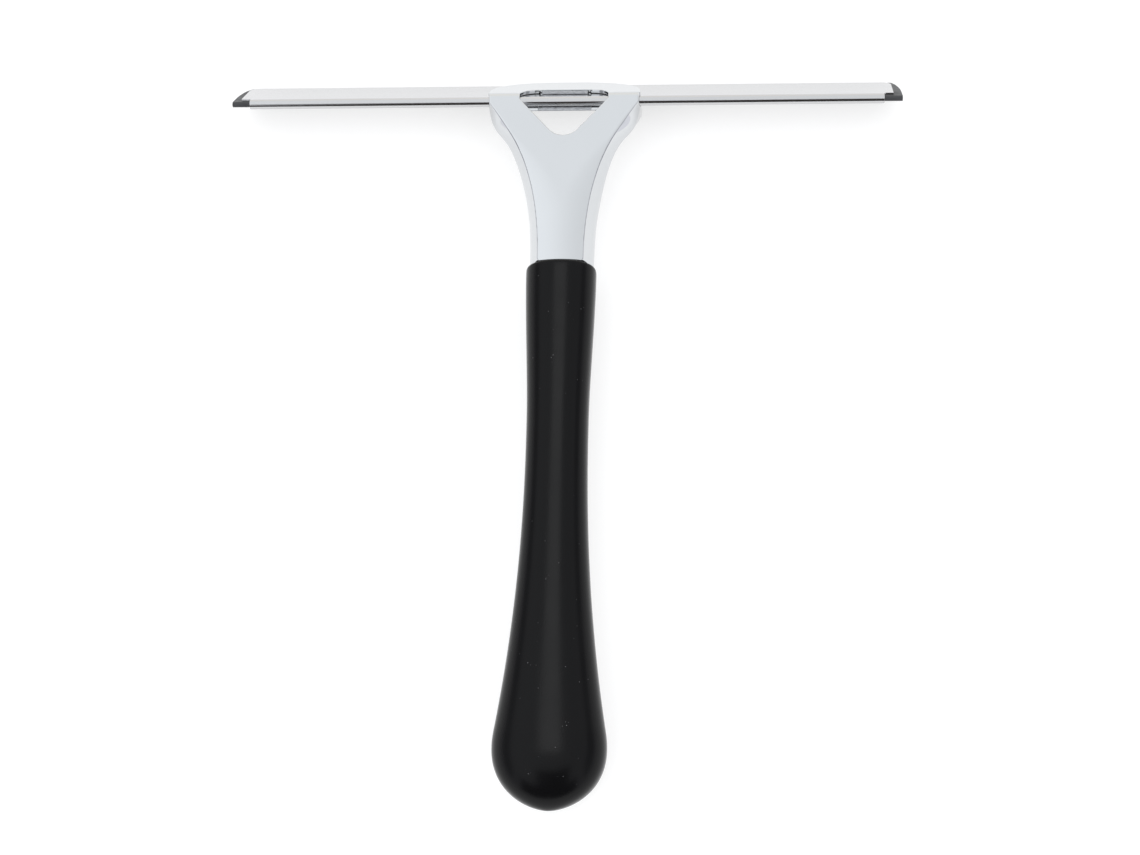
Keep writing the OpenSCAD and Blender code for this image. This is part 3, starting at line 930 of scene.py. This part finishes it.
def build_world():
    """White tent: brightest at the upper left, grey bands at the sides, dark gaps by the grip."""
    world = bpy.data.worlds.new("studio")
    bpy.context.scene.world = world
    world.use_nodes = True
    tree = world.node_tree
    tree.nodes.clear()

    def math_node(operation, *values):
        node = tree.nodes.new("ShaderNodeMath")
        node.operation = operation
        for socket, value in zip(node.inputs, values):
            tree.links.new(value, socket)
        return node.outputs[0]

    def rise(value, low, high):
        """0 at low and 1 at high, with a smooth rise between them."""
        node = tree.nodes.new("ShaderNodeMapRange")
        node.interpolation_type = "SMOOTHSTEP"
        tree.links.new(value, node.inputs["Value"])
        node.inputs["From Min"].default_value = low
        node.inputs["From Max"].default_value = high
        return node.outputs["Result"]

    def mixed(factor, first, second):
        node = tree.nodes.new("ShaderNodeMix")
        node.data_type = "RGBA"
        tree.links.new(factor, node.inputs["Factor"])
        for socket, value in ((node.inputs["A"], first), (node.inputs["B"], second)):
            if isinstance(value, tuple):
                socket.default_value = (*value, 1)
            else:
                tree.links.new(value, socket)
        return node.outputs["Result"]

    coordinates = tree.nodes.new("ShaderNodeTexCoord")
    split = tree.nodes.new("ShaderNodeSeparateXYZ")
    tree.links.new(coordinates.outputs["Generated"], split.inputs[0])
    axes = dict(zip("xyz", split.outputs))
    axes["sideways"] = math_node("ABSOLUTE", axes["x"])

    def region(edges):
        """1 in a region of the sky, 0 outside it."""
        inside = None
        for axis, low, high in edges:
            edge = rise(axes[axis], low, high)
            inside = edge if inside is None else math_node("MULTIPLY", inside, edge)
        return inside

    walls = mixed(rise(axes["y"], 0.2, 0.8), SIDE_WALLS, FAR_WALL)
    upper = mixed(rise(axes["x"], -0.7, 0.6), LEFT_UPPER, RIGHT_UPPER)
    sky = mixed(rise(axes["z"], 0.35, 0.8), walls, upper)
    sky = mixed(region(SIDE_BAND_EDGES), sky, SIDE_BAND)
    sky = mixed(region(UPPER_GAP_EDGES), sky, DARK_GAP)
    sky = mixed(region(LOWER_GAP_EDGES), sky, DARK_GAP)
    # The lens sees a plain backdrop; the rest shows only in reflections and as light
    lens = tree.nodes.new("ShaderNodeLightPath").outputs["Is Camera Ray"]
    sky = mixed(lens, sky, BACKDROP)
    background = tree.nodes.new("ShaderNodeBackground")
    tree.links.new(sky, background.inputs["Color"])
    output = tree.nodes.new("ShaderNodeOutputWorld")
    tree.links.new(background.outputs[0], output.inputs["Surface"])


def add_softbox(name, place, target, size, power):
    """Soft box that doesn't show in the chrome."""
    data = bpy.data.lights.new(name, "AREA")
    data.shape = "RECTANGLE"
    data.size, data.size_y = size
    data.energy = power
    lamp = bpy.data.objects.new(name, data)
    bpy.context.scene.collection.objects.link(lamp)
    lamp.location = place
    lamp.rotation_euler = (Vector(target) - Vector(place)).to_track_quat("-Z", "Y").to_euler()
    lamp.visible_glossy = False
    return lamp


def build_lights(sleeve):
    for name, lamp in SOFTBOXES.items():
        add_softbox(name, *lamp)
    # A long strip draws the sheen along the grip, and lights nothing else
    strip = add_softbox("strip_over_grip", *GRIP_STRIP)
    strip.visible_glossy = True
    receivers = bpy.data.collections.new("strip_receivers")
    receivers.objects.link(sleeve)
    strip.light_linking.receiver_collection = receivers


def build_camera():
    data = bpy.data.cameras.new("camera")
    data.sensor_width = SENSOR_WIDTH
    data.lens = FOCAL_LENGTH
    data.clip_start = 0.01
    camera = bpy.data.objects.new("camera", data)
    bpy.context.scene.collection.objects.link(camera)
    ahead = Vector((math.sin(CAMERA_YAW) * math.cos(CAMERA_ELEVATION),
                    math.cos(CAMERA_YAW) * math.cos(CAMERA_ELEVATION),
                    -math.sin(CAMERA_ELEVATION)))
    right = Vector((math.cos(CAMERA_YAW), -math.sin(CAMERA_YAW), 0))
    up = right.cross(ahead)
    turned_right = right * math.cos(CAMERA_ROLL) + up * math.sin(CAMERA_ROLL)
    turned_up = up * math.cos(CAMERA_ROLL) - right * math.sin(CAMERA_ROLL)
    turn = Matrix((turned_right, turned_up, -ahead)).transposed().to_4x4()
    place = Vector(CAMERA_TARGET) - ahead * CAMERA_DISTANCE
    camera.matrix_world = Matrix.Translation(place) @ turn
    bpy.context.scene.camera = camera


# --- Assembly ---------------------------------------------------------------

build_head(chrome_material(), cast_material())
build_channel(steel_material())
build_rubber(rubber_material())
sleeve = build_sleeve(silicone_material())
screw_steel = screw_material()
for side_name, side in (("left", -1), ("right", 1)):
    for place_name, place in SCREW_PLACES.items():
        label = f"{side_name}_{place_name}"
        build_set_screw(f"grub_screw_{label}", f"set_screw_{label}", f"screw_{label}",
                        side, place, screw_steel)
core_plastic = core_material()
zinc = zinc_material()
for node in ("grip_core_upper", "grip_core_lower"):
    repaint(node, core_plastic)
for node in ("core_screw_front", "core_screw_rear"):
    repaint(node, zinc)

build_floor()
build_world()
build_lights(sleeve)
build_camera()
bpy.context.scene.view_settings.view_transform = "Standard"
